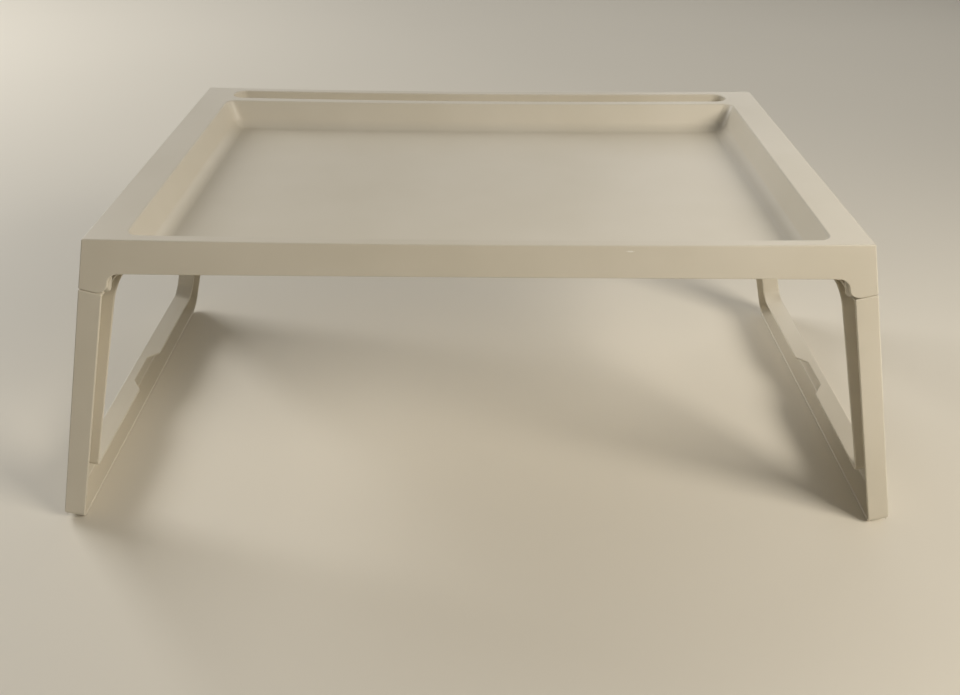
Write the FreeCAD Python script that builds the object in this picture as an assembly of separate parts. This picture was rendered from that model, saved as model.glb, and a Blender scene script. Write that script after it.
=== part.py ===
"""Bed tray table: a moulded tray carried on two folding leg frames.

Millimetres. +Z is up, +X runs along the tray, the front is at -Y, and the origin is on the
floor under the middle of the tray. The legs are modelled open, as the table stands.
"""
import FreeCAD
import Part
import math
import os

Vector = FreeCAD.Vector

# Overall sizes
height = 264.0              # floor to rim
tray_length = 560.0         # rim, end to end
tray_depth = 364.0          # rim, front to back
leg_splay = 15.5            # lean of each leg frame from upright, in degrees

# Tray moulding
tray_wall = 2.6             # skirts and end walls
rim_wall = 2.6              # flat top of the rim
skirt_height = 28.0         # front and rear skirts
lug_drop = 12.0             # how far the end walls reach below the skirts
lug_overlap = 3.3           # corner lug beyond the inner face of the leg
lug_round = 9.0             # lower inner corner of a lug
skirt_round = 9.5           # hollow corner where a skirt runs into a lug
tray_edge_round = 1.2       # outer edges of the tray

# Recess that holds things on the tray
end_rim = 28.0              # rim width at the two ends
front_rim = 9.0             # rim width along the front
rear_rim = 41.5             # rim width along the rear, which holds the groove
recess_depth = 23.5
recess_run = 9.0            # how far the sloping walls come in at the floor
recess_corner = 9.0
recess_floor_round = 12.0
recess_wall = 2.5
recess_edge_round = 1.0

# Groove that a tablet stands in
groove_width = 23.0
groove_depth = 12.0
groove_end_strip = 30.0     # rim between the groove and each end
groove_rear_strip = 9.0     # rim between the groove and the rear edge
groove_wall = 2.2

# Ribs under the end rims
rib_thickness = 1.6
rib_height = 15.0
rib_count = 5

# Leg frame: a channel, open towards the middle of the table
leg_thickness = 17.0        # across the channel, square to the frame
leg_wall = 2.4
leg_web = 2.4               # closed outer face
front_limb_top = 35.0       # width of the front limb below the crossbar
front_limb_foot = 29.0      # and at the foot rail
rear_limb_top = 40.0
rear_limb_foot = 36.0
rail_height = 39.0
crossbar_height = 10.5
window_top_round = 15.0
window_front_round = 3.0
window_rear_round = 12.0
foot_front_round = 7.0
foot_rear_round = 16.0
leg_edge_round = 1.2        # round the closed outer face

# Finger notch in the foot rail, for pulling a folded leg out
notch_mouth = 66.0
notch_floor = 40.0
notch_depth = 9.0
notch_round = 5.0
notch_forward = 8.0         # middle of the notch ahead of the middle of the leg

# Hinges
hinge_inset = 3.0           # hinge axis behind the inner face of the leg
pin_radius = 3.0
pin_head_radius = 4.6
pin_head_thickness = 1.8
knuckle_radius = 7.0
barrel_radius = 5.6
boss_radius = 6.0
boss_height = 3.2
boss_bore_depth = 2.8
cheek_thickness = 3.0
cheek_radius = 7.0

# Clearances
joint_gap = 0.4             # end wall to the top of an open leg
fold_gap = 0.8              # skirt to the inner face of a folded leg
side_gap = 0.5              # each side of a knuckle
pin_running_fit = 0.08      # radial, pin to knuckle
pin_seat_fit = 0.02         # radial, pin to tray
pin_tip_gap = 0.2           # end of a pin to the bottom of its bore

# Small lap that joins one feature of a moulding into the next
lap = 0.6

splay = math.radians(leg_splay)
half_length = tray_length / 2
half_depth = tray_depth / 2

# The outer face of a leg carries on the line of the tray's end wall
leg_top_x = half_length - leg_thickness / math.cos(splay)

# Distances down the leg frame, measured along its inner face from the level of the rim
side_height = skirt_height + lug_drop
joint_drop = (side_height + leg_thickness * math.sin(splay)) / math.cos(splay)
leg_top_drop = joint_drop + joint_gap
window_top_drop = leg_top_drop + crossbar_height
foot_drop = height / math.cos(splay)
rail_drop = foot_drop - rail_height
folded_drop = skirt_height + fold_gap + hinge_inset * (1 + math.sin(splay))
hinge_drop = folded_drop / math.cos(splay)

# Places across the tray, from the front or rear face inwards
boss_face = half_depth - tray_wall - boss_height
knuckle_face = boss_face - side_gap

LEG_OUTWARD = Vector(math.cos(splay), 0, math.sin(splay))
LEG_DOWN = Vector(math.sin(splay), 0, -math.cos(splay))
ALONG_Y = Vector(0, 1, 0)
ACROSS_X = Vector(1, 0, 0)


def leg_point(depth, y, drop):
    """A point of the right leg: depth outwards from its inner face, drop down its length."""
    return Vector(leg_top_x, y, height) + LEG_OUTWARD * depth + LEG_DOWN * drop


def rounded_wire(corners):
    """A closed flat outline through (corner, radius) pairs, with an arc at each radius."""
    edges = []
    starts = []
    ends = []
    count = len(corners)
    for index in range(count):
        corner, radius = corners[index]
        before = (corners[index - 1][0] - corner).normalize()
        after = (corners[(index + 1) % count][0] - corner).normalize()
        if radius == 0:
            starts.append(corner)
            ends.append(corner)
            continue
        half_angle = before.getAngle(after) / 2
        reach = radius / math.tan(half_angle)
        start = corner + before * reach
        end = corner + after * reach
        towards_centre = (before + after).normalize()
        middle = corner + towards_centre * (radius / math.sin(half_angle) - radius)
        edges.append(Part.Arc(start, middle, end).toShape())
        starts.append(start)
        ends.append(end)
    for index in range(count):
        start = ends[index]
        end = starts[(index + 1) % count]
        if (end - start).Length > 1e-6:
            edges.append(Part.LineSegment(start, end).toShape())
    return Part.Wire(Part.__sortEdges__(edges))


def slab(corners, sweep):
    """A rounded outline swept along a vector."""
    return Part.Face(rounded_wire(corners)).extrude(sweep)


def cylinder_y(x, z, radius, y_start, y_end):
    """A round bar along Y between two places."""
    low = min(y_start, y_end)
    return Part.makeCylinder(radius, abs(y_end - y_start), Vector(x, low, z), ALONG_Y)


def edges_where(shape, test):
    """The edges of a shape whose both ends and middle pass a test on a point."""
    found = []
    for edge in shape.Edges:
        middle = edge.valueAt((edge.FirstParameter + edge.LastParameter) / 2)
        points = [vertex.Point for vertex in edge.Vertexes] + [middle]
        if all(test(point) for point in points):
            found.append(edge)
    return found


def window_face(end):
    """How far the window side of a limb's top is from the middle; end is -1 front, 1 rear."""
    return half_depth - (front_limb_top if end < 0 else rear_limb_top)


def cheek_face(end):
    """How far the tray's hinge cheek reaches out towards a limb."""
    return window_face(end) - side_gap


def mirrored(shape):
    """The same shape at the other end of the table."""
    return shape.mirror(Vector(0, 0, 0), ACROSS_X)


def at_both_ends(shape):
    """A feature and its mirror image."""
    return [shape, mirrored(shape)]


def close(value, target):
    """Whether a size is the target, within a hundredth."""
    return abs(value - target) < 0.01


# Tray


def end_outline():
    """Corners of the tray seen from the front: skirt, lugs and leaning end walls."""
    lug_depth = -lug_overlap
    skirt_meets_lug = (skirt_height + lug_depth * math.sin(splay)) / math.cos(splay)
    right = [
        (leg_point(lug_depth, 0, skirt_meets_lug), skirt_round),
        (leg_point(lug_depth, 0, joint_drop), lug_round),
        (leg_point(leg_thickness, 0, joint_drop), 0),
        (Vector(half_length, 0, height), 0),
    ]
    left = [(Vector(-point.x, 0, point.z), radius) for point, radius in reversed(right)]
    return right + left


def tray_block():
    """The solid outer form of the tray, rounded along the rim and the upright corners."""
    shift = Vector(0, -half_depth, 0)
    corners = [(point + shift, radius) for point, radius in end_outline()]
    block = slab(corners, ALONG_Y * tray_depth)

    def on_rim(point):
        return close(point.z, height)

    def on_upright(point):
        from_end_wall = Vector(abs(point.x), 0, point.z) - leg_point(leg_thickness, 0, 0)
        return close(abs(point.y), half_depth) and close(from_end_wall.dot(LEG_OUTWARD), 0)

    return block.makeFillet(tray_edge_round, edges_where(block, on_rim) + edges_where(block, on_upright))


def tray_hollow():
    """The space under the rim, between the skirts and the end walls."""
    inner_depth = leg_thickness - tray_wall
    inner_half = half_depth - tray_wall
    floor_drop = joint_drop + leg_thickness
    ceiling_drop = (rim_wall + inner_depth * math.sin(splay)) / math.cos(splay)
    right = [
        leg_point(inner_depth, -inner_half, floor_drop),
        leg_point(inner_depth, -inner_half, ceiling_drop),
    ]
    left = [Vector(-point.x, point.y, point.z) for point in reversed(right)]
    return slab([(point, 0) for point in right + left], ALONG_Y * (2 * inner_half))


def recess_form(outset):
    """The sloping basin, as the hollow itself or, with an outset, as its outer skin."""
    depth = recess_depth + outset
    run = recess_run * depth / recess_depth
    half_x = half_length - end_rim + outset
    front = -half_depth + front_rim - outset
    rear = half_depth - rear_rim + outset
    form = Part.makeWedge(-half_x + run, -depth, -rear + run, -rear, -half_x,
                          half_x - run, 0, -front - run, -front, half_x)
    form.rotate(Vector(0, 0, 0), ACROSS_X, 90)
    form.translate(Vector(0, 0, height))
    corners = [edge for edge in form.Edges if edge.BoundBox.ZLength > depth / 2]
    form = form.makeFillet(recess_corner + outset, corners)
    floor_edges = edges_where(form, lambda p: close(p.z, height - depth))
    return form.makeFillet(recess_floor_round + outset, floor_edges)


def groove_form(outset):
    """The tablet groove, as the hollow itself or, with an outset, as its outer skin."""
    rear = half_depth - groove_rear_strip + outset
    front = rear - groove_width - 2 * outset
    half_x = half_length - groove_end_strip + outset
    bottom = height - groove_depth - outset
    radius = (rear - front) / 2
    corners = [
        (Vector(-half_x, front, bottom), radius),
        (Vector(half_x, front, bottom), radius),
        (Vector(half_x, rear, bottom), radius),
        (Vector(-half_x, rear, bottom), radius),
    ]
    return slab(corners, Vector(0, 0, groove_depth + outset))


def recess_lip(tray):
    """The edges round the mouth of the recess."""
    room = recess_form(0).BoundBox
    room.enlarge(lap)
    return edges_where(tray, lambda p: close(p.z, height) and room.isInside(p))


def hinge_centre():
    """The right hinge axis, where it crosses the middle of the table."""
    return leg_point(hinge_inset, 0, hinge_drop)


def end_rib(y_start, thickness):
    """A cross rib under the right end rim, from the recess to the end wall."""
    slope = recess_run / recess_depth
    mid_wall = recess_wall / 2
    near_x = half_length - end_rim + mid_wall
    low = height - rib_height
    wall_depth = leg_thickness - tray_wall / 2
    top = height - rim_wall / 2
    top_drop = (rim_wall / 2 + wall_depth * math.sin(splay)) / math.cos(splay)
    low_drop = (rib_height + wall_depth * math.sin(splay)) / math.cos(splay)
    corners = [
        Vector(near_x, y_start, top),
        Vector(near_x - slope * rib_height, y_start, low),
        leg_point(wall_depth, y_start, low_drop),
        leg_point(wall_depth, y_start, top_drop),
    ]
    return slab([(corner, 0) for corner in corners], ALONG_Y * thickness)


def cheek(end):
    """The hinge cheek beside a window wall of the right leg; end is -1 front, 1 rear."""
    centre = hinge_centre()
    far = end * cheek_face(end)
    near = end * (cheek_face(end) - cheek_thickness)
    y_start = min(far, near)
    ceiling = height - rim_wall / 2
    tongue = slab([
        (Vector(centre.x - cheek_radius, y_start, ceiling), 0),
        (Vector(centre.x - cheek_radius, y_start, centre.z), 0),
        (Vector(centre.x + cheek_radius, y_start, centre.z), 0),
        (Vector(centre.x + cheek_radius, y_start, ceiling), 0),
    ], ALONG_Y * cheek_thickness)
    tip = cylinder_y(centre.x, centre.z, cheek_radius, far, near)
    return tongue.fuse([tip, end_rib(y_start, cheek_thickness)])


def boss(end):
    """The blind boss behind a skirt that takes the far end of a right hinge pin."""
    centre = hinge_centre()
    root = end * (half_depth - lap)
    return cylinder_y(centre.x, centre.z, boss_radius, root, end * boss_face)


def hinge_bore(end):
    """The hole for a right hinge pin, through the cheek and into the boss."""
    centre = hinge_centre()
    start = end * (cheek_face(end) - cheek_thickness - lap)
    stop = end * (boss_face + boss_bore_depth)
    return cylinder_y(centre.x, centre.z, pin_radius + pin_seat_fit, start, stop)


def make_tray():
    """The tray: one moulding with its recess, groove, skirts, lugs and hinge cheeks."""
    shell = tray_block().cut(tray_hollow())
    skins = [recess_form(recess_wall), groove_form(groove_wall)]
    front_cheek = cheek_thickness - cheek_face(-1)
    rear_cheek = cheek_face(1) - cheek_thickness
    pitch = (rear_cheek - front_cheek) / (rib_count + 1)
    for index in range(rib_count):
        y_start = front_cheek + pitch * (index + 1) - rib_thickness / 2
        skins += at_both_ends(end_rib(y_start, rib_thickness))
    for end in (-1, 1):
        skins += at_both_ends(cheek(end))
        skins += at_both_ends(boss(end))
    tray = shell.fuse(skins)
    bores = []
    for end in (-1, 1):
        bores += at_both_ends(hinge_bore(end))
    tray = tray.cut([recess_form(0), groove_form(0)] + bores)
    tray = tray.removeSplitter()
    return tray.makeFillet(recess_edge_round, recess_lip(tray))


# Leg frame


def frame_outline(inset, depth):
    """The outer outline of the right leg frame, drawn in by inset."""
    edge = half_depth - inset
    top = leg_top_drop + inset
    foot = foot_drop - inset
    return [
        (leg_point(depth, -edge, top), 0),
        (leg_point(depth, -edge, foot), foot_front_round - inset),
        (leg_point(depth, edge, foot), foot_rear_round - inset),
        (leg_point(depth, edge, top), 0),
    ]


def window_outline(outset, depth):
    """The window of the right leg frame, widened by outset."""
    top = window_top_drop - outset
    low = rail_drop + outset
    reach = rail_drop - window_top_drop
    front_top = -window_face(-1)
    front_low = -half_depth + front_limb_foot
    rear_top = window_face(1)
    rear_low = half_depth - rear_limb_foot
    front_taper = outset * (front_top - front_low) / reach
    rear_taper = outset * (rear_low - rear_top) / reach
    return [
        (leg_point(depth, front_top - outset + front_taper, top), window_top_round + outset),
        (leg_point(depth, front_low - outset - front_taper, low), window_front_round + outset),
        (leg_point(depth, rear_low + outset + rear_taper, low), window_rear_round + outset),
        (leg_point(depth, rear_top + outset - rear_taper, top), window_top_round + outset),
    ]


def outer_face_edges(block):
    """The edges round the closed outer face of a leg frame."""
    origin = leg_point(leg_thickness, 0, 0)
    return edges_where(block, lambda p: close((p - origin).dot(LEG_OUTWARD), 0))


def frame_body():
    """The channelled ring of the right leg: limbs, foot rail and crossbar."""
    block = slab(frame_outline(0, 0), LEG_OUTWARD * leg_thickness)
    block = block.makeFillet(leg_edge_round, outer_face_edges(block))
    window = slab(window_outline(0, -lap), LEG_OUTWARD * (leg_thickness + 2 * lap))
    channel_depth = leg_thickness - leg_web + lap
    channel = slab(frame_outline(leg_wall, -lap), LEG_OUTWARD * channel_depth)
    core = slab(window_outline(leg_wall, -2 * lap), LEG_OUTWARD * (leg_thickness + 2 * lap))
    return block.cut([window, channel.cut(core)])


def knuckle_profile(y, thickness):
    """One plate of a knuckle: round over the hinge pin and spread to the top of the limb."""
    left = leg_point(hinge_inset - knuckle_radius, y, hinge_drop)
    crown = leg_point(hinge_inset, y, hinge_drop - knuckle_radius)
    right = leg_point(hinge_inset + knuckle_radius, y, hinge_drop)
    root = leg_top_drop + leg_wall / 2
    inner_root = leg_point(0, y, root)
    outer_root = leg_point(leg_thickness - leg_web - lap, y, root)
    arc = Part.Arc(left, crown, right).toShape()
    sides = Part.makePolygon([right, outer_root, inner_root, left])
    return Part.Face(Part.Wire([arc] + sides.Edges)).extrude(ALONG_Y * thickness)


def knuckle(end):
    """A knuckle of the right leg, with its barrel between two plates."""
    centre = hinge_centre()
    outer = end * knuckle_face
    inner = end * window_face(end)
    outer_plate = knuckle_profile(min(outer, outer - end * leg_wall), leg_wall)
    inner_plate = knuckle_profile(min(inner, inner + end * leg_wall), leg_wall)
    barrel = cylinder_y(centre.x, centre.z, barrel_radius, outer, inner)
    return [outer_plate, inner_plate, barrel]


def finger_notch():
    """The notch in the upper wall of the right foot rail."""
    above = rail_drop - lap
    corners = [
        (leg_point(-notch_depth, -notch_forward - notch_mouth / 2, above), 0),
        (leg_point(0, -notch_forward - notch_mouth / 2, above), notch_round),
        (leg_point(notch_depth, -notch_forward - notch_floor / 2, above), notch_round),
        (leg_point(notch_depth, -notch_forward + notch_floor / 2, above), notch_round),
        (leg_point(0, -notch_forward + notch_mouth / 2, above), notch_round),
        (leg_point(-notch_depth, -notch_forward + notch_mouth / 2, above), 0),
    ]
    return slab(corners, LEG_DOWN * (leg_wall + 2 * lap))


def make_leg():
    """The right leg frame."""
    parts = []
    bores = []
    centre = hinge_centre()
    for end in (-1, 1):
        parts += knuckle(end)
        outer = end * (knuckle_face + lap)
        inner = end * (window_face(end) - lap)
        bores.append(cylinder_y(centre.x, centre.z, pin_radius + pin_running_fit, outer, inner))
    leg = frame_body().fuse(parts)
    return leg.cut(bores + [finger_notch()]).removeSplitter()


# Hinge pins


def make_pin(end):
    """A headed pin of the right leg: its head on the cheek, its tip in the boss."""
    centre = hinge_centre()
    seat = end * (cheek_face(end) - cheek_thickness)
    head_top = seat - end * pin_head_thickness
    tip = end * (boss_face + boss_bore_depth - pin_tip_gap)
    shank = cylinder_y(centre.x, centre.z, pin_radius, seat, tip)
    head = cylinder_y(centre.x, centre.z, pin_head_radius, head_top, seat)
    return shank.fuse(head).removeSplitter()


def save(name, shape):
    """Write one piece as a STEP file named after it."""
    shape.exportStep(os.path.join("parts", name + ".step"))
    print(name, "solids", len(shape.Solids), "valid", shape.isValid(), "volume", round(shape.Volume))


def build():
    """Make every piece of the table."""
    os.makedirs("parts", exist_ok=True)
    save("tray", make_tray())
    leg = make_leg()
    save("right_leg", leg)
    save("left_leg", mirrored(leg))
    for place, end in (("front", -1), ("rear", 1)):
        pin = make_pin(end)
        save(place + "_right_hinge_pin", pin)
        save(place + "_left_hinge_pin", mirrored(pin))


build()
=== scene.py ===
"""Looks of a bed tray table: a moulded tray carried on two leg frames that fold in under it.

Metres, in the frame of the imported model: the floor is at z = 0, the front is at -Y and X runs along
the tray. Shapes of one end are worked out for the right end and mirrored for the left.
"""
import logging
import math
from dataclasses import dataclass
from enum import Enum

import bmesh
import bpy
from mathutils import Matrix, Vector


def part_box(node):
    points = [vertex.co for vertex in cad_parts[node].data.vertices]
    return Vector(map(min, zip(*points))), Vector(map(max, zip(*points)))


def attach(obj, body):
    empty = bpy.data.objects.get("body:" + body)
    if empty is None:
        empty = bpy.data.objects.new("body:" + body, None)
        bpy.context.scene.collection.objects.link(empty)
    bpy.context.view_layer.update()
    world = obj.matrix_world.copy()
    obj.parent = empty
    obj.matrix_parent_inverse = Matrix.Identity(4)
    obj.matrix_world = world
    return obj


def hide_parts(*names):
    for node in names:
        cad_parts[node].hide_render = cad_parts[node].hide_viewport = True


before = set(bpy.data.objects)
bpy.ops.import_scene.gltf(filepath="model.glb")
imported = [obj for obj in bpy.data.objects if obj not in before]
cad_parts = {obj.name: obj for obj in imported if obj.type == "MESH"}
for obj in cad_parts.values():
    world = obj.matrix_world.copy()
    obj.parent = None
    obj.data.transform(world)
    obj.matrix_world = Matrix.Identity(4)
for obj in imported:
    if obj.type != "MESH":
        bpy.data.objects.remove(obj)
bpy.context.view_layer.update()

LOG = logging.getLogger("bed_tray_table")

ALONG_X = Vector((1, 0, 0))
ALONG_Y = Vector((0, 1, 0))
UP = Vector((0, 0, 1))
ARC_STEP = math.radians(7.5)        # turn between two points of a rounded corner
ROUND_STEPS = 64                    # points round a pin, bore or barrel
WELD = 0.00001                      # points nearer than this are one point
SQUARE = 0.9                        # cosine past which a face counts as looking along an axis
RIM_HALF_LENGTH = 0.280             # the rim, from the middle to an end


class Side(Enum):
    """The two ends of the table, as the sign of X."""

    LEFT = -1
    RIGHT = 1

    @property
    def word(self) -> str:
        """The side's name in a piece name."""
        return self.name.lower()


class End(Enum):
    """The front and the rear of a leg frame, as the sign of Y."""

    FRONT = -1
    REAR = 1

    @property
    def word(self) -> str:
        """The end's name in a piece name."""
        return self.name.lower()


# Materials


class Nodes:
    """A material's node tree, with short ways to add and join nodes."""

    def __init__(self, name: str) -> None:
        """Start a material with its shader.

        Args:
            name: The material's name.
        """
        self.material = bpy.data.materials.new(name)
        self.material.use_nodes = True
        self.tree = self.material.node_tree
        self.shader = self.tree.nodes["Principled BSDF"]
        self.place = self.tree.nodes.new("ShaderNodeTexCoord").outputs["Object"]

    def add(self, kind: str, inputs: dict | None = None, **settings: object) -> bpy.types.Node:
        """Add a node.

        Args:
            kind: The node's type, without the ShaderNode in front.
            inputs: Values or sockets by input name or number.
            **settings: The node's own properties.

        Returns:
            The new node.
        """
        node = self.tree.nodes.new("ShaderNode" + kind)
        for key, value in settings.items():
            setattr(node, key, value)
        for key, value in (inputs or {}).items():
            self.feed(node.inputs[key], value)
        return node

    def feed(self, socket: bpy.types.NodeSocket, value: object) -> None:
        """Link a socket into an input, or set a plain value on it.

        Args:
            socket: The input.
            value: A socket to link from, or a value.
        """
        if isinstance(value, bpy.types.NodeSocket):
            self.tree.links.new(value, socket)
        else:
            socket.default_value = value

    def noise(self, scale: float, detail: float = 3.0,
              stretch: Vector | None = None) -> bpy.types.NodeSocket:
        """A noise over the piece, in turns per metre.

        Args:
            scale: How fine the noise is.
            detail: How many finer layers it has.
            stretch: How much finer it is along each axis.

        Returns:
            The noise, from 0 to 1.
        """
        place = self.place
        if stretch is not None:
            place = self.add("Mapping", {"Vector": place, "Scale": stretch}).outputs["Vector"]
        node = self.add("TexNoise", {"Vector": place, "Scale": scale, "Detail": detail})
        return node.outputs["Fac"]

    def between(self, value: bpy.types.NodeSocket, low: float, high: float,
                start: float = 0.0, stop: float = 1.0) -> bpy.types.NodeSocket:
        """Map a value from one range to another.

        Args:
            value: The value.
            low: Lower end of its range.
            high: Upper end of its range.
            start: What the lower end becomes.
            stop: What the upper end becomes.

        Returns:
            The mapped value, kept inside the new range.
        """
        inputs = {"Value": value, "From Min": low, "From Max": high,
                  "To Min": start, "To Max": stop}
        return self.add("MapRange", inputs).outputs["Result"]

    def blend(self, amount: bpy.types.NodeSocket, first: object,
              second: object) -> bpy.types.NodeSocket:
        """Mix two colours.

        Args:
            amount: 0 gives the first colour, 1 the second.
            first: A colour or a socket.
            second: A colour or a socket.

        Returns:
            The mixed colour.
        """
        node = self.add("Mix", data_type="RGBA")
        self.feed(node.inputs["Factor"], amount)
        self.feed(node.inputs["A"], first)
        self.feed(node.inputs["B"], second)
        return node.outputs["Result"]


@dataclass(frozen=True)
class Mark:
    """A small rub or speck on a surface."""

    place: tuple[float, float, float]
    size: tuple[float, float, float]
    colour: tuple[float, float, float, float]
    cover: float = 0.85             # how much of the colour below it hides
    solid: float = 0.9              # where it starts to fade, in its own sizes
    gone: float = 1.5               # where it has faded out
    ragged: float = 1500.0          # how fine its torn edge is


@dataclass(frozen=True)
class MouldedPlastic:
    """Off-white moulded plastic with a fine satin skin."""

    name: str
    colour: tuple[float, float, float, float] = (0.700, 0.650, 0.548, 1)
    worn: tuple[float, float, float, float] = (0.640, 0.590, 0.482, 1)
    roughness: float = 0.36
    roughness_spread: float = 0.025
    ior: float = 1.49
    mottle: float = 7.0             # soft changes of tone, in turns per metre
    mottle_span: tuple[float, float] = (0.35, 0.75)
    cloud: float = 34.0             # handling marks in the sheen
    cloud_span: tuple[float, float] = (0.3, 0.7)
    grain: float = 2600.0           # the skin of the mould
    grain_height: float = 0.000012
    flow: float = 21.0              # long soft waves left by moulding
    flow_height: float = 0.00004
    flow_strength: float = 0.6
    marks: tuple[Mark, ...] = ()

    def material(self) -> bpy.types.Material:
        """Build the material.

        Returns:
            The material.
        """
        nodes = Nodes(self.name)
        tone = nodes.between(nodes.noise(self.mottle), *self.mottle_span)
        colour = nodes.blend(tone, self.colour, self.worn)
        for mark in self.marks:
            colour = self.rub(nodes, colour, mark)
        cloud = nodes.noise(self.cloud, detail=6.0)
        rough = self.roughness - self.roughness_spread, self.roughness + self.roughness_spread
        nodes.feed(nodes.shader.inputs["Base Color"], colour)
        nodes.feed(nodes.shader.inputs["Roughness"], nodes.between(cloud, *self.cloud_span, *rough))
        nodes.shader.inputs["IOR"].default_value = self.ior
        waves = nodes.add("Bump", {"Height": nodes.noise(self.flow, detail=1.0),
                                   "Distance": self.flow_height, "Strength": self.flow_strength})
        skin = nodes.add("Bump", {"Height": nodes.noise(self.grain, detail=2.0),
                                  "Distance": self.grain_height, "Strength": 1.0,
                                  "Normal": waves.outputs["Normal"]})
        nodes.feed(nodes.shader.inputs["Normal"], skin.outputs["Normal"])
        return nodes.material

    def rub(self, nodes: Nodes, colour: bpy.types.NodeSocket, mark: Mark) -> bpy.types.NodeSocket:
        """Lay one mark over the colour.

        Args:
            nodes: The material being built.
            colour: The colour under the mark.
            mark: The mark.

        Returns:
            The colour with the mark on it.
        """
        scale = Vector([1 / side for side in mark.size])
        offset = Vector([-centre / side for centre, side in zip(mark.place, mark.size)])
        near = nodes.add("Mapping", {"Vector": nodes.place, "Location": offset, "Scale": scale})
        length = nodes.add("VectorMath", {0: near.outputs["Vector"]}, operation="LENGTH")
        torn = nodes.noise(mark.ragged, detail=4.0)
        ragged = nodes.add("Math", {0: length.outputs["Value"], 1: torn}, operation="ADD")
        amount = nodes.between(ragged.outputs["Value"], mark.solid, mark.gone, mark.cover, 0.0)
        return nodes.blend(amount, colour, mark.colour)


@dataclass(frozen=True)
class TurnedSteel:
    """Plain turned steel, brushed round its axis along Y."""

    name: str
    colour: tuple[float, float, float, float] = (0.56, 0.56, 0.57, 1)
    dull: tuple[float, float, float, float] = (0.42, 0.41, 0.40, 1)
    stain: float = 160.0            # changes of tone, in turns per metre
    roughness: float = 0.30
    smoother: float = 0.08
    rougher: float = 0.12
    lines: float = 900.0            # marks of the lathe
    along: tuple[float, float, float] = (0.15, 4.0, 0.15)
    line_span: tuple[float, float] = (0.2, 0.8)
    line_height: float = 0.00002

    def material(self) -> bpy.types.Material:
        """Build the material.

        Returns:
            The material.
        """
        nodes = Nodes(self.name)
        lines = nodes.noise(self.lines, detail=2.0, stretch=Vector(self.along))
        rough = self.roughness - self.smoother, self.roughness + self.rougher
        nodes.shader.inputs["Metallic"].default_value = 1.0
        nodes.feed(nodes.shader.inputs["Base Color"],
                   nodes.blend(nodes.noise(self.stain), self.colour, self.dull))
        nodes.feed(nodes.shader.inputs["Roughness"], nodes.between(lines, *self.line_span, *rough))
        bump = nodes.add("Bump", {"Height": lines, "Distance": self.line_height})
        nodes.feed(nodes.shader.inputs["Normal"], bump.outputs["Normal"])
        return nodes.material


# Mesh building


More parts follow.
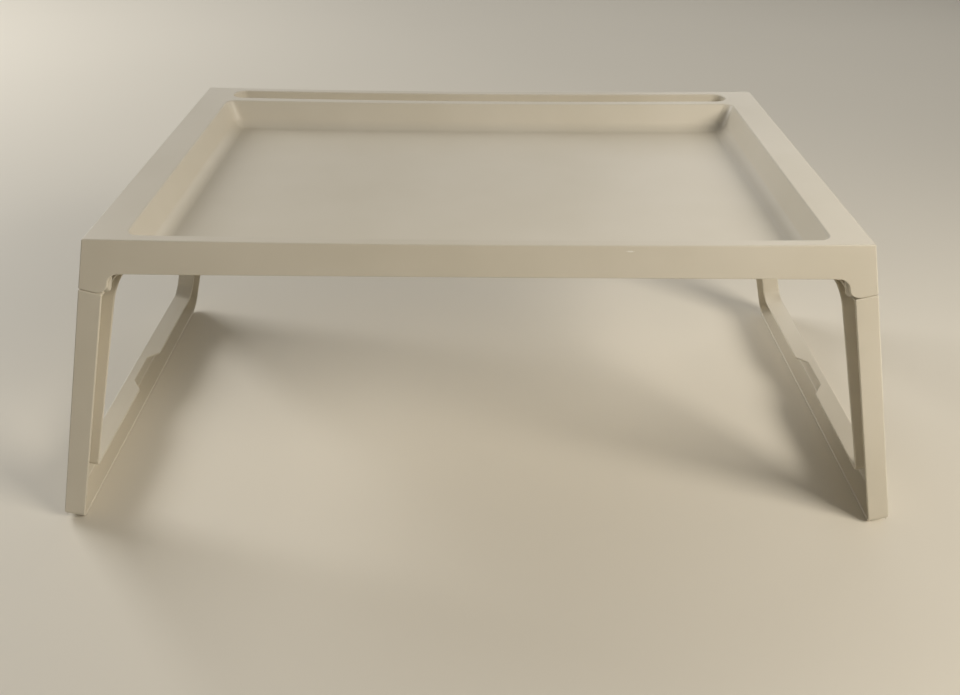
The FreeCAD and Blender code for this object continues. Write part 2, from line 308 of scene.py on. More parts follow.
class Moulding:
    """A mesh being shaped, with the steps that several pieces share."""

    def __init__(self) -> None:
        """Start with nothing."""
        self.bm = bmesh.new()

    def rounded_face(self, corners: list[tuple[Vector, float]]) -> bmesh.types.BMFace:
        """Add a flat face with rounded corners.

        Args:
            corners: Each corner's place and radius, in order.

        Returns:
            The face.
        """
        known = set(self.bm.faces)
        verts = [self.bm.verts.new(point) for point, _ in corners]
        self.bm.faces.new(verts)
        for index, (point, radius) in enumerate(corners):
            if radius == 0:
                continue
            before = (corners[index - 1][0] - point).normalized()
            after = (corners[(index + 1) % len(corners)][0] - point).normalized()
            inside = before.angle(after)
            steps = max(2, round((math.pi - inside) / ARC_STEP))
            bmesh.ops.bevel(self.bm, geom=[verts[index]], offset=radius / math.tan(inside / 2),
                            offset_type="OFFSET", affect="VERTICES", segments=steps, profile=0.5,
                            clamp_overlap=False, material=-1)
        face = next(face for face in self.bm.faces if face not in known)
        bmesh.ops.remove_doubles(self.bm, verts=face.verts, dist=WELD)
        return next(face for face in self.bm.faces if face not in known)

    def circle(self, centre: Vector, radius: float) -> list[bmesh.types.BMEdge]:
        """Add a ring of edges square to Y.

        Args:
            centre: Its centre.
            radius: Its radius.

        Returns:
            The edges.
        """
        turn = Matrix.Translation(centre) @ Matrix.Rotation(math.pi / 2, 4, "X")
        made = bmesh.ops.create_circle(self.bm, segments=ROUND_STEPS, radius=radius, matrix=turn)
        return list(dict.fromkeys(edge for vert in made["verts"] for edge in vert.link_edges))

    def fill_between(self, edges: list[bmesh.types.BMEdge],
                     normal: Vector) -> list[bmesh.types.BMFace]:
        """Fill the flat space between an outline and the hole in it.

        Args:
            edges: The edges of the outline and of the hole.
            normal: Which way the new faces look.

        Returns:
            The new faces.
        """
        made = bmesh.ops.triangle_fill(self.bm, use_beauty=True, edges=edges, normal=normal)["geom"]
        faces = [item for item in made if isinstance(item, bmesh.types.BMFace)]
        turned = [face for face in faces if face.normal.dot(normal) < 0]
        bmesh.ops.reverse_faces(self.bm, faces=turned)
        return faces

    def drop_faces(self, faces: list[bmesh.types.BMFace]) -> None:
        """Delete faces but keep their edges.

        Args:
            faces: The faces.
        """
        bmesh.ops.delete(self.bm, geom=faces, context="FACES_ONLY")

    def sink(self, face: bmesh.types.BMFace, shift: Vector, spread: Vector) -> bmesh.types.BMFace:
        """Push a face in to make a pocket.

        Args:
            face: The mouth of the pocket.
            shift: From the mouth to the floor.
            spread: How much larger or smaller the floor is along each axis.

        Returns:
            The floor.
        """
        centre = face.calc_center_bounds()
        made = bmesh.ops.extrude_face_region(self.bm, geom=[face])["geom"]
        floor = next(item for item in made if isinstance(item, bmesh.types.BMFace))
        self.drop_faces([face])
        bmesh.ops.scale(self.bm, vec=spread, space=Matrix.Translation(-centre), verts=floor.verts)
        bmesh.ops.translate(self.bm, vec=shift, verts=floor.verts)
        return floor

    def round_edges(self, edges: list[bmesh.types.BMEdge], offset: float, segments: int) -> None:
        """Round edges.

        Args:
            edges: The edges.
            offset: How far from the edge the rounding starts.
            segments: Steps round it.
        """
        bmesh.ops.bevel(self.bm, geom=edges, offset=offset, offset_type="OFFSET", affect="EDGES",
                        segments=segments, profile=0.5, clamp_overlap=False, material=-1)

    def plate(self, corners: list[tuple[Vector, float]], thickness: float,
              bore: tuple[Vector, float] | None = None) -> None:
        """Add a closed plate square to Y.

        Args:
            corners: Each corner's place and radius.
            thickness: Its thickness towards +Y.
            bore: Centre and radius of a hole through it.
        """
        face = self.rounded_face(corners)
        faces = [face]
        if bore is not None:
            edges = list(face.edges) + self.circle(*bore)
            self.drop_faces([face])
            faces = self.fill_between(edges, -ALONG_Y)
        made = bmesh.ops.extrude_face_region(self.bm, geom=faces)["geom"]
        verts = [item for item in made if isinstance(item, bmesh.types.BMVert)]
        bmesh.ops.translate(self.bm, vec=ALONG_Y * thickness, verts=verts)

    def ring(self, centre: Vector, inner: float, outer: float, start: float, stop: float) -> None:
        """Add a closed ring round an axis along Y.

        Args:
            centre: A point of the axis.
            inner: The bore's radius.
            outer: The outer radius.
            start: One end, in Y.
            stop: The other end, in Y.
        """
        corners = ((inner, start), (outer, start), (outer, stop), (inner, stop))
        verts = [self.bm.verts.new((centre.x + radius, y, centre.z)) for radius, y in corners]
        edges = [self.bm.edges.new((verts[index - 1], verts[index])) for index in range(len(verts))]
        bmesh.ops.spin(self.bm, geom=verts + edges, cent=centre, axis=ALONG_Y, angle=2 * math.pi,
                       steps=ROUND_STEPS, use_merge=True)

    def slice_across(self, places: list[float]) -> None:
        """Add cuts square to X, so that a long face can bend.

        Args:
            places: Where the cuts go, in X.
        """
        for x in places:
            geom = list(self.bm.verts) + list(self.bm.edges) + list(self.bm.faces)
            bmesh.ops.bisect_plane(self.bm, geom=geom, dist=WELD, plane_co=ALONG_X * x,
                                   plane_no=ALONG_X)

    def settle(self, side: Side, outer: Vector | None = None) -> None:
        """Weld the mesh, mirror it for the left side and turn its faces outwards.

        Args:
            side: Which end of the table the mesh is for.
            outer: A direction in which the part's outermost face has to look, on an open shell.
        """
        bmesh.ops.remove_doubles(self.bm, verts=self.bm.verts, dist=WELD)
        bmesh.ops.recalc_face_normals(self.bm, faces=self.bm.faces)
        if outer is not None:
            furthest = max(self.bm.faces, key=lambda face: face.calc_center_median().dot(outer))
            if furthest.normal.dot(outer) < 0:
                bmesh.ops.reverse_faces(self.bm, faces=self.bm.faces)
        if side is Side.LEFT:
            bmesh.ops.scale(self.bm, vec=(-1, 1, 1), verts=self.bm.verts)
            bmesh.ops.reverse_faces(self.bm, faces=self.bm.faces)


@dataclass(frozen=True)
class Piece:
    """How a finished mesh becomes a piece of the table."""

    name: str
    body: str
    slot: str
    finish: bpy.types.Material
    stands_for: str | None = None
    wall: float = 0.0               # wall thickness of an open skin
    edge: float = 0.0               # rounding of the sharp edges
    sharp: float = math.radians(32)
    edge_steps: int = 3
    flat_weight: int = 100          # how far large faces set the shading

    def place(self, moulding: Moulding) -> bpy.types.Object:
        """Turn a moulding into the piece.

        Args:
            moulding: The finished mesh.

        Returns:
            The piece's object.
        """
        mesh = bpy.data.meshes.new(self.name)
        for face in moulding.bm.faces:
            face.smooth = True
        moulding.bm.to_mesh(mesh)
        moulding.bm.free()
        mesh.materials.append(self.finish)
        piece = bpy.data.objects.new(self.name, mesh)
        bpy.context.scene.collection.objects.link(piece)
        if self.wall > 0:
            self.thicken(piece)
        if self.edge > 0:
            self.soften(piece)
        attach(piece, self.body)
        if self.stands_for is not None:
            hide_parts(self.stands_for)
        LOG.info("%s rides on %s, %d faces before its modifiers",
                 self.name, self.body, len(mesh.polygons))
        return piece

    def thicken(self, piece: bpy.types.Object) -> None:
        """Give an open skin its wall, inwards.

        Args:
            piece: The piece's object.
        """
        wall = piece.modifiers.new("wall", "SOLIDIFY")
        wall.thickness = self.wall
        wall.offset = -1
        wall.use_even_offset = True
        wall.use_quality_normals = True

    def soften(self, piece: bpy.types.Object) -> None:
        """Round the sharp edges and keep the flat faces flat in shading.

        Args:
            piece: The piece's object.
        """
        edge = piece.modifiers.new("edge", "BEVEL")
        edge.width = self.edge
        edge.segments = self.edge_steps
        edge.limit_method = "ANGLE"
        edge.angle_limit = self.sharp
        edge.use_clamp_overlap = False
        flat = piece.modifiers.new("flat", "WEIGHTED_NORMAL")
        flat.keep_sharp = True
        flat.weight = self.flat_weight


# The table


LIMB_TOP = {End.FRONT: 0.035, End.REAR: 0.040}      # a limb's width at its top


@dataclass(frozen=True)
class Lean:
    """The leaning plane of the right end: the line that the end wall and the leg share."""

    height: float
    half_length: float              # rim, from the middle to the end
    half_depth: float
    angle: float = math.radians(15.5)
    thickness: float = 0.017        # leg frame, across its plane

    @property
    def outward(self) -> Vector:
        """Square to the leg frame, away from the table."""
        return Vector((math.cos(self.angle), 0, math.sin(self.angle)))

    @property
    def down(self) -> Vector:
        """Down the leg frame."""
        return Vector((math.sin(self.angle), 0, -math.cos(self.angle)))

    def point(self, depth: float, y: float, drop: float) -> Vector:
        """A point of the right end.

        Args:
            depth: Outwards from the leg's inner face.
            y: Along Y.
            drop: Down the inner face of the leg, from the level of the rim.

        Returns:
            The point.
        """
        top = Vector((self.half_length - self.thickness / math.cos(self.angle), y, self.height))
        return top + self.outward * depth + self.down * drop

    def drop_at(self, below_rim: float, depth: float) -> float:
        """How far down the frame a level below the rim lies, at a depth."""
        return (below_rim + depth * math.sin(self.angle)) / math.cos(self.angle)


@dataclass(frozen=True)
class Hinge:
    """The sizes round the four hinge pins."""

    lean: Lean
    inset: float = 0.003            # axis behind the inner face of the leg
    level: float = 0.0318           # axis below the rim, at the middle of a knuckle
    pin_radius: float = 0.003
    running_fit: float = 0.00008
    seat_fit: float = 0.00002
    knuckle_radius: float = 0.007
    barrel_radius: float = 0.0056
    cheek_radius: float = 0.007
    cheek_thickness: float = 0.003
    boss_radius: float = 0.006
    boss_height: float = 0.0032
    side_gap: float = 0.0005

    @property
    def centre(self) -> Vector:
        """The right hinge axis, at the middle of the table."""
        return self.lean.point(self.inset, 0, self.lean.drop_at(self.level, self.inset))


@dataclass(frozen=True)
class Tray:
    """The tray: rim, recess, tablet groove, skirts and end walls, with what is moulded under it."""

    lean: Lean
    hinge: Hinge
    finish: bpy.types.Material
    wall: float = 0.0026
    skirt_height: float = 0.028
    lug_drop: float = 0.012
    lug_overlap: float = 0.0033
    lug_round: float = 0.009
    skirt_round: float = 0.0095
    end_rim: float = 0.028
    front_rim: float = 0.009
    rear_rim: float = 0.0415
    recess_depth: float = 0.0235
    recess_run: float = 0.009
    recess_corner: float = 0.009
    recess_floor_round: float = 0.012
    recess_floor_steps: int = 8
    groove_width: float = 0.023
    groove_depth: float = 0.012
    groove_end_strip: float = 0.030
    groove_rear_strip: float = 0.009
    sag: float = 0.0024             # how far the rim and the recess hang in the middle
    skirt_sag: float = 0.0005       # the skirts' lower edges, which stay clear of a folded leg
    sag_cuts: int = 16
    edge: float = 0.0011
    rib_thickness: float = 0.0016
    rib_height: float = 0.015
    rib_count: int = 5

    def end_corners(self) -> list[tuple[Vector, float]]:
        """The tray seen from the front: skirt, lugs and leaning end walls.

        Returns:
            Corners and radii, on the front face.
        """
        lean = self.lean
        joint_drop = lean.drop_at(self.skirt_height + self.lug_drop, lean.thickness)
        y = -lean.half_depth
        right = [
            (lean.point(-self.lug_overlap, y, lean.drop_at(self.skirt_height, -self.lug_overlap)),
             self.skirt_round),
            (lean.point(-self.lug_overlap, y, joint_drop), self.lug_round),
            (lean.point(lean.thickness, y, joint_drop), 0),
            (Vector((lean.half_length, y, lean.height)), 0),
        ]
        left = [(Vector((-point.x, y, point.z)), radius) for point, radius in reversed(right)]
        return right + left

    def mouth(self, half_x: float, front: float, rear: float,
              radius: float) -> list[tuple[Vector, float]]:
        """A rounded opening in the rim.

        Args:
            half_x: Half its length.
            front: Its front edge, in Y.
            rear: Its rear edge, in Y.
            radius: Its corners.

        Returns:
            Corners and radii.
        """
        places = ((-half_x, front), (half_x, front), (half_x, rear), (-half_x, rear))
        return [(Vector((x, y, self.lean.height)), radius) for x, y in places]

    def build_shell(self) -> None:
        """Model the shell as an outer skin, and give it its wall."""
        lean = self.lean
        shape = Moulding()
        front_face = shape.rounded_face(self.end_corners())
        bmesh.ops.extrude_face_region(shape.bm, geom=[front_face])
        bmesh.ops.translate(shape.bm, vec=ALONG_Y * 2 * lean.half_depth,
                            verts=list(front_face.verts))
        skirts = [face for face in shape.bm.faces if abs(face.normal.y) > SQUARE]
        ends = [face for face in shape.bm.faces if abs(face.normal.x) > SQUARE
                and abs(face.calc_center_median().x) > lean.half_length]
        kept = set(skirts + ends)
        bmesh.ops.delete(shape.bm, geom=[face for face in shape.bm.faces if face not in kept],
                         context="FACES")
        recess_rear = lean.half_depth - self.rear_rim
        groove_rear = lean.half_depth - self.groove_rear_strip
        groove_front = groove_rear - self.groove_width
        recess = shape.rounded_face(self.mouth(
            lean.half_length - self.end_rim, self.front_rim - lean.half_depth, recess_rear,
            self.recess_corner))
        groove = shape.rounded_face(self.mouth(
            lean.half_length - self.groove_end_strip, groove_front, groove_rear,
            self.groove_width / 2))
        self.sink_recess(shape, recess)
        shape.sink(groove, -UP * self.groove_depth, Vector((1, 1, 1)))
        self.fill_rim(shape, (recess_rear + groove_front) / 2)
        step = 2 * lean.half_length / self.sag_cuts
        shape.slice_across([step * index - lean.half_length for index in range(1, self.sag_cuts)])
        self.hang(shape)
        shape.settle(Side.RIGHT, outer=UP)
        Piece("tray_shell", "table_top", "tray", self.finish, stands_for="tray",
              wall=self.wall, edge=self.edge).place(shape)

    def fill_rim(self, shape: Moulding, parting: float) -> None:
        """Fill the rim in four quarters, round the recess and round the groove.

        Args:
            shape: The tray's skin.
            parting: A line between the recess and the groove, in Y.
        """
        level = self.lean.height
        for place, normal in ((ALONG_Y * parting, ALONG_Y), (Vector(), ALONG_X)):
            geom = list(shape.bm.verts) + list(shape.bm.edges) + list(shape.bm.faces)
            bmesh.ops.bisect_plane(shape.bm, geom=geom, dist=WELD, plane_co=place, plane_no=normal)
        rim = [edge for edge in shape.bm.edges if len(edge.link_faces) == 1
               and all(abs(vert.co.z - level) < WELD for vert in edge.verts)]
        known = list(dict.fromkeys(vert for edge in rim for vert in edge.verts))
        middle = shape.bm.verts.new((0, parting, level))
        across = sorted((vert for vert in known if abs(vert.co.x) < WELD),
                        key=lambda vert: vert.co.y)
        front, recess_front, recess_rear, groove_front, groove_rear, rear = across
        pairs = [(front, recess_front), (recess_rear, middle),
                 (middle, groove_front), (groove_rear, rear)]
        pairs += [(middle, vert) for vert in known if abs(vert.co.y - parting) < WELD]
        partings = [shape.bm.edges.new(pair) for pair in pairs]
        for way_x in (-1, 1):
            for way_y in (-1, 1):
                quarter = [edge for edge in rim + partings if all(
                    way_x * vert.co.x > -WELD and way_y * (vert.co.y - parting) > -WELD
                    for vert in edge.verts)]
                bmesh.ops.edgeloop_fill(shape.bm, edges=quarter)

    def sink_recess(self, shape: Moulding, mouth: bmesh.types.BMFace) -> None:
        """Press in the recess with its sloping walls and rounded floor.

        Args:
            shape: The tray's skin.
            mouth: The face at the level of the rim.
        """
        half_x = self.lean.half_length - self.end_rim
        half_y = (2 * self.lean.half_depth - self.front_rim - self.rear_rim) / 2
        spread = Vector((1 - self.recess_run / half_x, 1 - self.recess_run / half_y, 1))
        floor = shape.sink(mouth, -UP * self.recess_depth, spread)
        slope = math.atan2(self.recess_depth, self.recess_run)
        reach = self.recess_floor_round * math.tan(slope / 2)
        shape.round_edges(list(floor.edges), reach, self.recess_floor_steps)

    def hang(self, shape: Moulding) -> None:
        """Let the long edges hang a little towards the middle.

        Args:
            shape: The tray's skin.
        """
        for vert in shape.bm.verts:
            share = min(1.0, abs(vert.co.x) / self.lean.half_length)
            low = vert.co.z < self.lean.height - self.skirt_height + WELD
            vert.co.z -= (self.skirt_sag if low else self.sag) * (1 - share * share)

    def build_underside(self, side: Side) -> None:
        """Model the ribs, hinge cheeks and bosses under one end.

        Args:
            side: Which end.
        """
        shape = Moulding()
        hinge = self.hinge
        cheeks = {end: cheek_face(self.lean, hinge, end) - hinge.cheek_thickness for end in End}
        first, last = -cheeks[End.FRONT], cheeks[End.REAR]
        pitch = (last - first) / (self.rib_count + 1)
        for index in range(1, self.rib_count + 1):
            y = first + pitch * index - self.rib_thickness / 2
            shape.plate(self.rib_corners(y), self.rib_thickness)
        for end in End:
            start = cheeks[end] if end is End.REAR else -cheeks[end] - hinge.cheek_thickness
            shape.plate(self.rib_corners(start), hinge.cheek_thickness)
            shape.plate(self.tongue_corners(start), hinge.cheek_thickness,
                        bore=(hinge.centre + ALONG_Y * start, hinge.pin_radius + hinge.seat_fit))
            face = end.value * (self.lean.half_depth - self.wall - hinge.boss_height)
            root = end.value * (self.lean.half_depth - self.wall / 2)
            shape.ring(hinge.centre, hinge.pin_radius + hinge.seat_fit, hinge.boss_radius,
                       face, root)
        shape.settle(side)
        Piece(f"{side.word}_hinge_cheeks_and_ribs", "table_top", "tray", self.finish).place(shape)

    def rib_corners(self, y: float) -> list[tuple[Vector, float]]:
        """A cross rib under the end rim, from the recess to the end wall.

        Args:
            y: Its front face.

        Returns:
            Corners and radii.
        """
        lean = self.lean
        slope = self.recess_run / self.recess_depth
        near_x = lean.half_length - self.end_rim + self.wall / 2
        depth = lean.thickness - self.wall / 2
        return [
            (Vector((near_x, y, lean.height - self.wall / 2)), 0),
            (Vector((near_x - slope * self.rib_height, y, lean.height - self.rib_height)), 0),
            (lean.point(depth, y, lean.drop_at(self.rib_height, depth)), 0),
            (lean.point(depth, y, lean.drop_at(self.wall / 2, depth)), 0),
        ]

    def tongue_corners(self, y: float) -> list[tuple[Vector, float]]:
        """A hinge cheek, hanging from the rim inside the end wall, and round below the pin.

        Args:
            y: Its front face.

        Returns:
            Corners and radii.
        """
        centre = self.hinge.centre
        radius = self.hinge.cheek_radius
        ceiling = self.lean.height - self.wall / 2
        return [
            (Vector((centre.x - radius, y, ceiling)), 0),
            (Vector((centre.x - radius, y, centre.z - radius)), radius),
            (Vector((centre.x + radius, y, centre.z - radius)), radius),
            (Vector((self.lean.half_length - self.wall / 2, y, ceiling)), 0),
        ]


@dataclass(frozen=True)
class LegFrame:
    """A leg frame: a channelled ring, open towards the middle of the table."""

    lean: Lean
    hinge: Hinge
    side: Side
    finish: bpy.types.Material
    joint_level: float = 0.040      # bottom of the tray's end wall, below the rim
    joint_gap: float = 0.0004
    wall: float = 0.0024
    front_limb_foot: float = 0.029
    rear_limb_foot: float = 0.036
    rail_height: float = 0.039
    crossbar_height: float = 0.0105
    window_top_round: float = 0.015
    window_front_round: float = 0.003
    window_rear_round: float = 0.012
    foot_front_round: float = 0.007
    foot_rear_round: float = 0.016
    notch_mouth: float = 0.066
    notch_floor: float = 0.040
    notch_depth: float = 0.009
    notch_round: float = 0.005
    notch_forward: float = 0.008
    knuckle_chin: float = 0.0025    # rounding of a knuckle plate above the limb's inner face
    barrel_relief: float = 0.0002   # a barrel's bore stands clear of the pin between its plates
    edge: float = 0.0011

    @property
    def top(self) -> float:
        """Where the frame starts, down its inner face."""
        return self.lean.drop_at(self.joint_level, self.lean.thickness) + self.joint_gap

    @property
    def foot(self) -> float:
        """Where the frame meets the floor, down its inner face."""
        return self.lean.height / math.cos(self.lean.angle)

    def outer_corners(self) -> list[tuple[Vector, float]]:
        """The outline of the frame, on its outer face.

        Returns:
            Corners and radii.
        """
        point, depth, y = self.lean.point, self.lean.thickness, self.lean.half_depth
        return [
            (point(depth, -y, self.top), 0),
            (point(depth, -y, self.foot), self.foot_front_round),
            (point(depth, y, self.foot), self.foot_rear_round),
            (point(depth, y, self.top), 0),
        ]

    def window_corners(self) -> list[tuple[Vector, float]]:
        """The outline of the window, on the outer face.

        Returns:
            Corners and radii.
        """
        point, depth, y = self.lean.point, self.lean.thickness, self.lean.half_depth
        head = self.top + self.crossbar_height
        sill = self.foot - self.rail_height
        return [
            (point(depth, -window_face(self.lean, End.FRONT), head), self.window_top_round),
            (point(depth, self.front_limb_foot - y, sill), self.window_front_round),
            (point(depth, y - self.rear_limb_foot, sill), self.window_rear_round),
            (point(depth, window_face(self.lean, End.REAR), head), self.window_top_round),
        ]

    def build(self) -> None:
        """Model the frame and its knuckles."""
        shape = Moulding()
        outline = shape.rounded_face(self.outer_corners())
        window = shape.rounded_face(self.window_corners())
        edges = list(outline.edges) + list(window.edges)
        shape.fill_between(edges, self.lean.outward)
        shape.drop_faces([outline, window])
        made = bmesh.ops.extrude_edge_only(shape.bm, edges=edges)["geom"]
        verts = [item for item in made if isinstance(item, bmesh.types.BMVert)]
        bmesh.ops.translate(shape.bm, vec=-self.lean.outward * self.lean.thickness, verts=verts)
        self.notch_sill(shape)
        shape.settle(self.side, outer=self.lean.outward)
        body = f"{self.side.word}_leg"
        Piece(f"{self.side.word}_leg_frame", body, body, self.finish, stands_for=body,
              wall=self.wall, edge=self.edge).place(shape)
        knuckles = Moulding()
        for end in End:
            self.add_knuckle(knuckles, end)
        knuckles.settle(self.side)
        Piece(f"{self.side.word}_leg_knuckles", body, body, self.finish).place(knuckles)

    def notch_sill(self, shape: Moulding) -> None:
        """Replace the wall under the window by one with the finger notch.

        Args:
            shape: The frame's skin.
        """
        lean = self.lean
        sill_drop = self.foot - self.rail_height

        def off_sill(face: bmesh.types.BMFace) -> float:
            """How far a face's middle is from the middle of the sill."""
            middle = lean.point(lean.thickness / 2, 0, sill_drop)
            return (face.calc_center_median() - middle).length

        sill = min(shape.bm.faces, key=off_sill)
        front = min(vert.co.y for vert in sill.verts)
        rear = max(vert.co.y for vert in sill.verts)
        bmesh.ops.delete(shape.bm, geom=[sill], context="FACES")
        middle = -self.notch_forward
        path = [
            (lean.thickness, front, 0), (lean.thickness, rear, 0), (0, rear, 0),
            (0, middle + self.notch_mouth / 2, self.notch_round),
            (self.notch_depth, middle + self.notch_floor / 2, self.notch_round),
            (self.notch_depth, middle - self.notch_floor / 2, self.notch_round),
            (0, middle - self.notch_mouth / 2, self.notch_round), (0, front, 0),
        ]
        shape.rounded_face([(lean.point(depth, y, sill_drop), radius) for depth, y, radius in path])

    def add_knuckle(self, shape: Moulding, end: End) -> None:
        """Add one knuckle: a barrel on the hinge pin between two plates.

        Args:
            shape: The mesh to add to.
            end: Front or rear.
        """
        lean, hinge = self.lean, self.hinge
        outer = lean.half_depth - Tray.wall - hinge.boss_height - hinge.side_gap
        inner = window_face(lean, end)
        bore = hinge.pin_radius + hinge.running_fit
        for face in (outer - self.wall, inner):
            start = face if end is End.REAR else -face - self.wall
            shape.plate(self.knuckle_corners(start), self.wall,
                        bore=(hinge.centre + ALONG_Y * start, bore))
        shape.ring(hinge.centre, bore + self.barrel_relief, hinge.barrel_radius,
                   end.value * (inner + self.wall / 2), end.value * (outer - self.wall / 2))

    def knuckle_corners(self, y: float) -> list[tuple[Vector, float]]:
        """One plate of a knuckle.

        Args:
            y: Its front face.

        Returns:
            Corners and radii.
        """
        point, hinge = self.lean.point, self.hinge
        crown = self.lean.drop_at(hinge.level, hinge.inset) - hinge.knuckle_radius
        root = self.top + self.wall / 2
        radius = hinge.knuckle_radius
        return [
            (point(hinge.inset - radius, y, crown), radius),
            (point(hinge.inset - radius, y, root - self.knuckle_chin), self.knuckle_chin),
            (point(0, y, root), 0),
            (point(self.lean.thickness - self.wall, y, root), 0),
            (point(hinge.inset + radius, y, crown), radius),
        ]


def window_face(lean: Lean, end: End) -> float:
    """How far the window side of a limb's top is from the middle.

    Args:
        lean: The table's end.
        end: Front or rear.

    Returns:
        The distance along Y.
    """
    return lean.half_depth - LIMB_TOP[end]


def cheek_face(lean: Lean, hinge: Hinge, end: End) -> float:
    """How far a hinge cheek reaches out towards a limb.

    Args:
        lean: The table's end.
        hinge: The hinge sizes.
        end: Front or rear.

    Returns:
        The distance along Y.
    """
    return window_face(lean, end) - hinge.side_gap


@dataclass(frozen=True)
class HingePins:
    """The four pins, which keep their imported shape."""

    finish: bpy.types.Material

    def dress(self) -> None:
        """Give each pin its steel."""
        for side in Side:
            for end in End:
                name = f"{end.word}_{side.word}_hinge_pin"
                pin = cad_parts[name]
                for slot in pin.material_slots:
                    slot.material = self.finish
                LOG.info("%s is dressed", name)


# The studio


@dataclass(frozen=True)
class Softbox:
    """A large soft lamp aimed at a point."""

    name: str
    place: tuple[float, float, float]
    size: tuple[float, float]
    power: float
    colour: tuple[float, float, float]
    aim: tuple[float, float, float] = (0.0, 0.0, 0.15)

    def light(self) -> None:
        """Hang the lamp."""
        data = bpy.data.lights.new(self.name, "AREA")
        data.shape = "RECTANGLE"
        data.size, data.size_y = self.size
        data.energy = self.power
        data.color = self.colour
        lamp = bpy.data.objects.new(self.name, data)
        lamp.location = self.place
        way = Vector(self.aim) - Vector(self.place)
        lamp.rotation_euler = way.to_track_quat("-Z", "Y").to_euler()
        lamp.visible_camera = False
        bpy.context.scene.collection.objects.link(lamp)


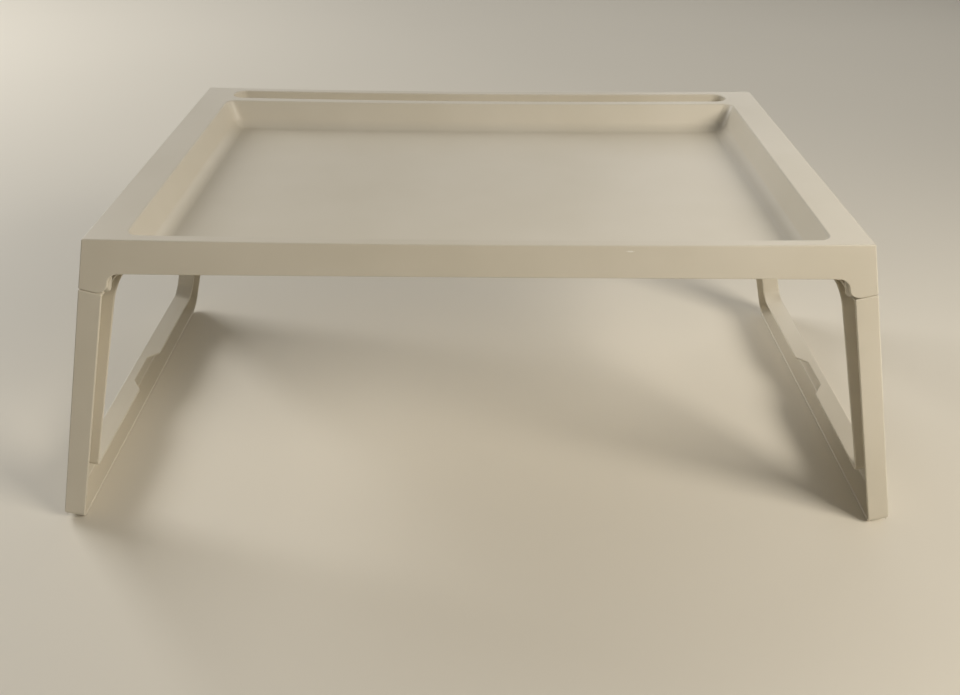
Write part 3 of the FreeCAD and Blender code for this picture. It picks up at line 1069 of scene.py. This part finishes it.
@dataclass(frozen=True)
class Studio:
    """Floor, lamps, surroundings and camera."""

    lamps: tuple[Softbox, ...] = (
        Softbox("key", (0.95, -0.75, 0.85), (0.55, 0.55), 12.0, (1.0, 0.93, 0.82)),
        Softbox("left", (-2.30, 1.50, 1.70), (1.8, 1.3), 50.0, (1.0, 0.985, 0.96)),
        Softbox("rear", (1.20, 2.00, 1.40), (1.8, 1.2), 5.0, (1.0, 0.97, 0.92)),
    )
    floor_colour: tuple[float, float, float, float] = (0.80, 0.755, 0.66, 1)
    floor_shade: float = 0.96       # its darker tone
    floor_cloud: float = 1.1        # changes of tone, in turns per metre
    floor_cloud_span: tuple[float, float] = (0.3, 0.7)
    floor_roughness: float = 0.65
    floor_radius: float = 12.0
    floor_steps: int = 96
    surround: tuple[float, float, float, float] = (0.80, 0.78, 0.74, 1)
    surround_light: float = 0.15    # how strongly it lights the table
    surround_seen: float = 0.75     # how bright it looks, also in reflections
    camera_place: tuple[float, float, float] = (-0.000893, -0.770199, 0.546331)
    camera_turn: tuple[float, float, float] = (57.8325, -0.4264, 0.0657)
    lens: float = 34.56
    sensor: float = 36.0

    def build(self) -> None:
        """Set up everything round the table."""
        self.lay_floor()
        self.fill_surround()
        for lamp in self.lamps:
            lamp.light()
        self.set_camera()
        bpy.context.scene.view_settings.view_transform = "Standard"

    def lay_floor(self) -> None:
        """Lay a wide pale floor under the table."""
        shape = bmesh.new()
        bmesh.ops.create_circle(shape, cap_ends=True, segments=self.floor_steps,
                                radius=self.floor_radius)
        mesh = bpy.data.meshes.new("floor")
        shape.to_mesh(mesh)
        shape.free()
        nodes = Nodes("pale_paper")
        tone = nodes.between(nodes.noise(self.floor_cloud, detail=2.0), *self.floor_cloud_span)
        deep = tuple(self.floor_shade * part for part in self.floor_colour[:3]) + (1,)
        nodes.feed(nodes.shader.inputs["Base Color"], nodes.blend(tone, self.floor_colour, deep))
        nodes.shader.inputs["Roughness"].default_value = self.floor_roughness
        self.open_from_below(nodes)
        mesh.materials.append(nodes.material)
        floor = bpy.data.objects.new("floor", mesh)
        bpy.context.scene.collection.objects.link(floor)

    def open_from_below(self, nodes: Nodes) -> None:
        """Let a camera under the floor see through it.

        Args:
            nodes: The floor's material.
        """
        under = nodes.add("NewGeometry").outputs["Backfacing"]
        seen = nodes.add("LightPath").outputs["Is Camera Ray"]
        both = nodes.add("Math", {0: under, 1: seen}, operation="MULTIPLY").outputs["Value"]
        clear = nodes.add("BsdfTransparent").outputs["BSDF"]
        mix = nodes.add("MixShader", {0: both, 1: nodes.shader.outputs["BSDF"], 2: clear})
        out = nodes.tree.nodes["Material Output"]
        nodes.tree.links.new(mix.outputs["Shader"], out.inputs["Surface"])

    def fill_surround(self) -> None:
        """Make the surroundings pale to look at and dim as a light."""
        world = bpy.data.worlds.new("surround")
        world.use_nodes = True
        tree = world.node_tree
        back = tree.nodes["Background"]
        back.inputs["Color"].default_value = self.surround
        paths = tree.nodes.new("ShaderNodeLightPath")
        glossy = tree.nodes.new("ShaderNodeMath")
        seen = tree.nodes.new("ShaderNodeMath")
        glossy.operation = seen.operation = "MAXIMUM"
        tree.links.new(paths.outputs["Is Glossy Ray"], glossy.inputs[0])
        tree.links.new(paths.outputs["Is Transmission Ray"], glossy.inputs[1])
        tree.links.new(paths.outputs["Is Camera Ray"], seen.inputs[0])
        tree.links.new(glossy.outputs["Value"], seen.inputs[1])
        level = tree.nodes.new("ShaderNodeMapRange")
        level.inputs["To Min"].default_value = self.surround_light
        level.inputs["To Max"].default_value = self.surround_seen
        tree.links.new(seen.outputs["Value"], level.inputs["Value"])
        tree.links.new(level.outputs["Result"], back.inputs["Strength"])
        bpy.context.scene.world = world

    def set_camera(self) -> None:
        """Stand the camera where the photograph was taken."""
        data = bpy.data.cameras.new("camera")
        data.lens = self.lens
        data.sensor_width = self.sensor
        camera = bpy.data.objects.new("camera", data)
        camera.location = self.camera_place
        camera.rotation_euler = [math.radians(turn) for turn in self.camera_turn]
        bpy.context.scene.collection.objects.link(camera)
        bpy.context.scene.camera = camera


def tray_marks(lean: Lean) -> tuple[Mark, ...]:
    """The marks of use on the tray: a pale rub on the front skirt and a dark speck in the recess.

    Args:
        lean: The table's end.

    Returns:
        The marks.
    """
    rub = Mark((0.107, -lean.half_depth, 0.2575), (0.0035, 0.004, 0.0008), (0.90, 0.88, 0.82, 1))
    speck = Mark((-0.2465, 0.045, 0.2530), (0.0009, 0.0009, 0.0009), (0.16, 0.13, 0.10, 1))
    return rub, speck


def main() -> None:
    """Build every piece of the table, then the studio round it."""
    logging.basicConfig(level=logging.INFO, format="%(message)s")
    top_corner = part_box("tray")[1]
    lean = Lean(height=top_corner.z, half_length=RIM_HALF_LENGTH, half_depth=top_corner.y)
    hinge = Hinge(lean)
    tray_plastic = MouldedPlastic("tray_plastic", marks=tray_marks(lean)).material()
    leg_plastic = MouldedPlastic("leg_plastic").material()
    tray = Tray(lean, hinge, tray_plastic)
    tray.build_shell()
    for side in Side:
        tray.build_underside(side)
        LegFrame(lean, hinge, side, leg_plastic).build()
    HingePins(TurnedSteel("hinge_steel").material()).dress()
    Studio().build()


if __name__ == "__main__":
    main()
